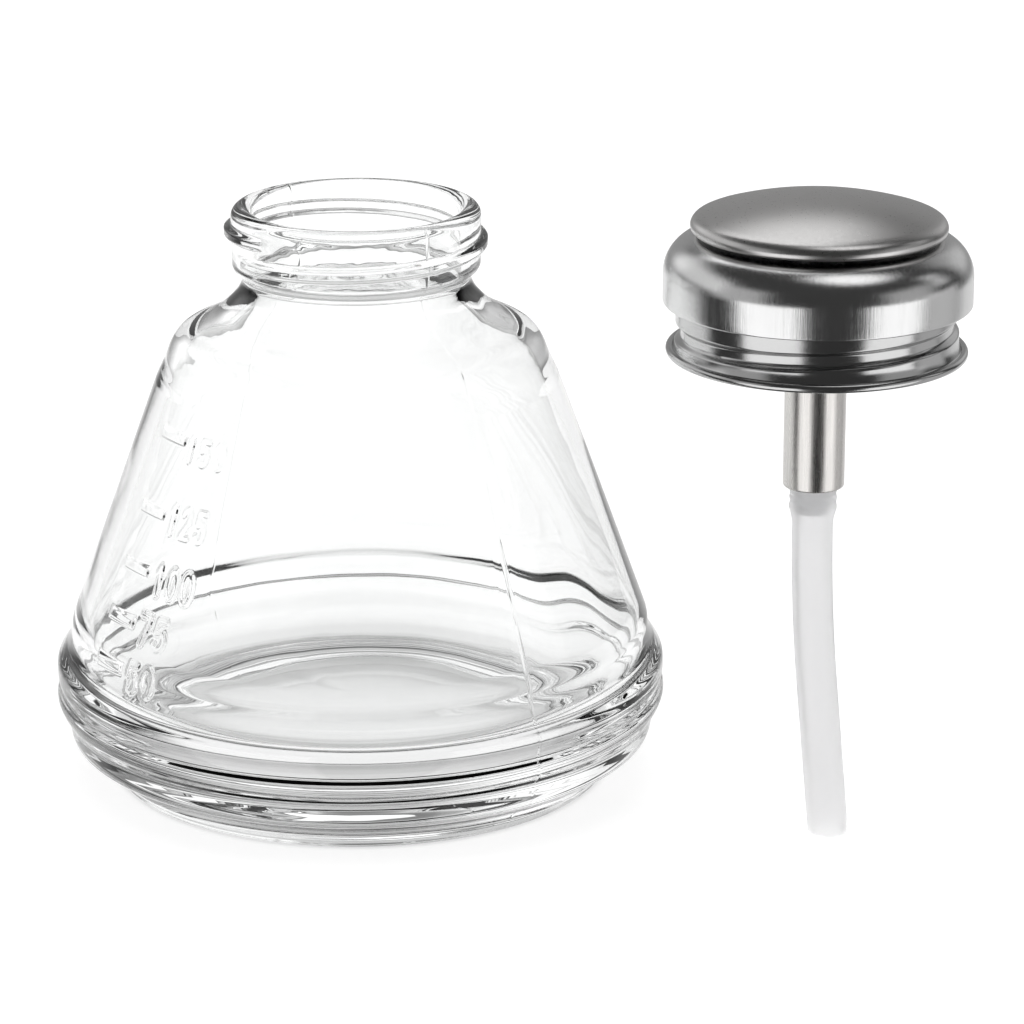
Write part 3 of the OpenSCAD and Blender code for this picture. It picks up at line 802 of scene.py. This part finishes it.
def studio_light(nodes, links, direction, panels, grey):
    """Brightness in a direction of the room: grey, with the panels and the box overhead added."""
    split = nodes.new("ShaderNodeSeparateXYZ")
    links.new(direction, split.inputs[0])

    def calc(op, a, b=None):
        node = nodes.new("ShaderNodeMath")
        node.operation = op
        for spot, value in enumerate((a, b)):
            if value is None:
                continue
            if isinstance(value, (int, float)):
                node.inputs[spot].default_value = value
            else:
                links.new(value, node.inputs[spot])
        return node.outputs[0]

    def step(source, start, end):
        node = nodes.new("ShaderNodeMapRange")
        node.interpolation_type = "SMOOTHSTEP"
        node.inputs["From Min"].default_value = start
        node.inputs["From Max"].default_value = end
        links.new(source, node.inputs["Value"])
        return node.outputs["Result"]

    def window(source, start, end, soft):
        return calc("MULTIPLY", step(source, start - soft / 2, start + soft / 2),
                    calc("SUBTRACT", 1.0, step(source, end - soft / 2, end + soft / 2)))

    deg = 180 / math.pi
    right, back, up = (split.outputs[axis] for axis in "XYZ")
    side = calc("MULTIPLY", calc("ARCTAN2", right, calc("MULTIPLY", back, -1.0)), deg)
    turned = calc("ADD", side, calc("MULTIPLY", calc("LESS_THAN", side, 0.0), 360.0))
    height = calc("MULTIPLY", calc("ARCSINE", up), deg)
    total = calc("ADD", grey, 0.0)
    for _, s0, s1, h0, h1, soft, power in panels:
        around = turned if s1 > 180 else side
        lit = calc("MULTIPLY", window(around, s0, s1, soft), window(height, h0, h1, soft))
        total = calc("ADD", total, calc("MULTIPLY", lit, power))
    x, y, z, reach, soft, power = TOP_BOX
    size = math.sqrt(x * x + y * y + z * z)
    rest = calc("ADD", calc("MULTIPLY", back, y / size), calc("MULTIPLY", up, z / size))
    along = calc("ADD", calc("MULTIPLY", right, x / size), rest)
    off = calc("MULTIPLY", calc("ARCCOSINE", along), deg)
    overhead = calc("SUBTRACT", 1.0, step(off, reach - soft, reach + soft))
    return calc("ADD", total, calc("MULTIPLY", overhead, power))


def make_world():
    world = bpy.data.worlds.new("studio")
    bpy.context.scene.world = world
    world.use_nodes = True
    nodes, links = world.node_tree.nodes, world.node_tree.links
    coord = nodes.new("ShaderNodeTexCoord")
    total = studio_light(nodes, links, coord.outputs["Generated"], PANELS, STUDIO_GREY)
    back = nodes["Background"]
    links.new(total, back.inputs["Color"])
    back.inputs["Strength"].default_value = 1.0


def make_room():
    """The walls of the room, which only light that comes through glass or the tube can see."""
    mesh = bpy.data.meshes.new("room")
    n, m, radius = 48, 20, 5.0
    verts = [(0.0, 0.0, radius)]
    for i in range(1, m):
        tilt = math.pi * i / m
        for k in range(n):
            turn = 2 * math.pi * k / n
            out = radius * math.sin(tilt)
            verts.append((out * math.cos(turn), out * math.sin(turn), radius * math.cos(tilt)))
    verts.append((0.0, 0.0, -radius))
    faces = [(0, 1 + k, 1 + (k + 1) % n) for k in range(n)]
    for i in range(m - 2):
        a, b = 1 + i * n, 1 + (i + 1) * n
        faces += [(a + k, b + k, b + (k + 1) % n, a + (k + 1) % n) for k in range(n)]
    a = 1 + (m - 2) * n
    faces += [(a + k, len(verts) - 1, a + (k + 1) % n) for k in range(n)]
    mesh.from_pydata(verts, [], faces)
    obj = bpy.data.objects.new("room", mesh)
    bpy.context.scene.collection.objects.link(obj)
    mat = bpy.data.materials.new("room_light")
    mat.use_nodes = True
    nodes, links = mat.node_tree.nodes, mat.node_tree.links
    nodes.remove(nodes["Principled BSDF"])
    coord = nodes.new("ShaderNodeTexCoord")
    unit = nodes.new("ShaderNodeVectorMath")
    unit.operation = "NORMALIZE"
    links.new(coord.outputs["Object"], unit.inputs[0])
    glow = nodes.new("ShaderNodeEmission")
    light = studio_light(nodes, links, unit.outputs["Vector"], THROUGH, THROUGH_GREY)
    links.new(light, glow.inputs["Strength"])
    links.new(glow.outputs["Emission"], nodes["Material Output"].inputs["Surface"])
    mesh.materials.append(mat)
    obj.visible_camera = False
    obj.visible_glossy = False
    obj.visible_diffuse = False
    obj.visible_shadow = False


def make_lights():
    middle = (0.03, 0.0, 0.05)
    area_light("left_softbox", (-0.75, -0.25, 0.35), middle, (0.35, 0.7), 2.5)
    area_light("right_softbox", (0.75, -0.2, 0.35), middle, (0.3, 0.7), 2.0)
    area_light("top_softbox", (0.0, 0.1, 0.95), middle, (0.9, 0.7), 6.0)
    make_world()
    make_room()
    bpy.context.scene.view_settings.view_transform = "Standard"


# Nodes that stay as packed, by the material they get
NODE_LOOKS = {
    "pump_steel": ("disc_plate", "valve_hub", "head_nut", "stem", "lock_nut", "inlet_valve",
                   "valve_retainer"),
    "ball_steel": ("outlet_ball", "inlet_ball"),
    "inner_plastic": ("piston", "guide_bush"),
    "seal_rubber": ("piston_seal", "stem_seal", "collar_gasket", "barrel_washer"),
}


def dress_nodes(mats):
    for look, names in NODE_LOOKS.items():
        for name in names:
            for spot in NODES[name].material_slots:
                spot.material = mats[look]


make_camera()
# Metals: colour, roughness and its spread, stretch of the grain, its scale and its bump
METALS = {
    "brushed_steel": ((0.63, 0.622, 0.616), 0.31, 0.05, EVEN, 2500.0, 0.12),
    "cover_steel": ((0.72, 0.72, 0.72), 0.19, 0.07, BRUSHED, 3500.0, 0.42),
    # The collar's steel is darker than the cover's: partly its own tone, partly painted shade from
    # the cover's overhang.
    "polished_steel": ((0.55, 0.55, 0.55), 0.17, 0.04, EVEN, 1800.0, 0.1),
    "barrel_steel": ((0.72, 0.7, 0.68), 0.29, 0.07, BRUSHED, 3500.0, 0.25),
    "pump_steel": ((0.6, 0.605, 0.61), 0.28),
    "spring_steel": ((0.55, 0.555, 0.57), 0.25),
    "ball_steel": ((0.75, 0.75, 0.77), 0.06, 0.02),
}
MATS = {"clear_glass": glass_material()}
for metal, values in METALS.items():
    MATS[metal] = metal_material(metal, *values)
MATS["inner_plastic"] = plastic_material("inner_plastic", (0.82, 0.82, 0.8), 0.4)
MATS["seal_rubber"] = plastic_material("seal_rubber", (0.025, 0.025, 0.027), 0.5)
MATS["tube_plastic"] = tube_material()
make_bottle(MATS["clear_glass"])
make_disc(MATS["brushed_steel"])
make_cover(MATS["cover_steel"])
make_collar(MATS["polished_steel"])
make_barrel(MATS["barrel_steel"])
make_tube(MATS["tube_plastic"])
make_spring(MATS["spring_steel"])
dress_nodes(MATS)
make_floor()
make_lights()
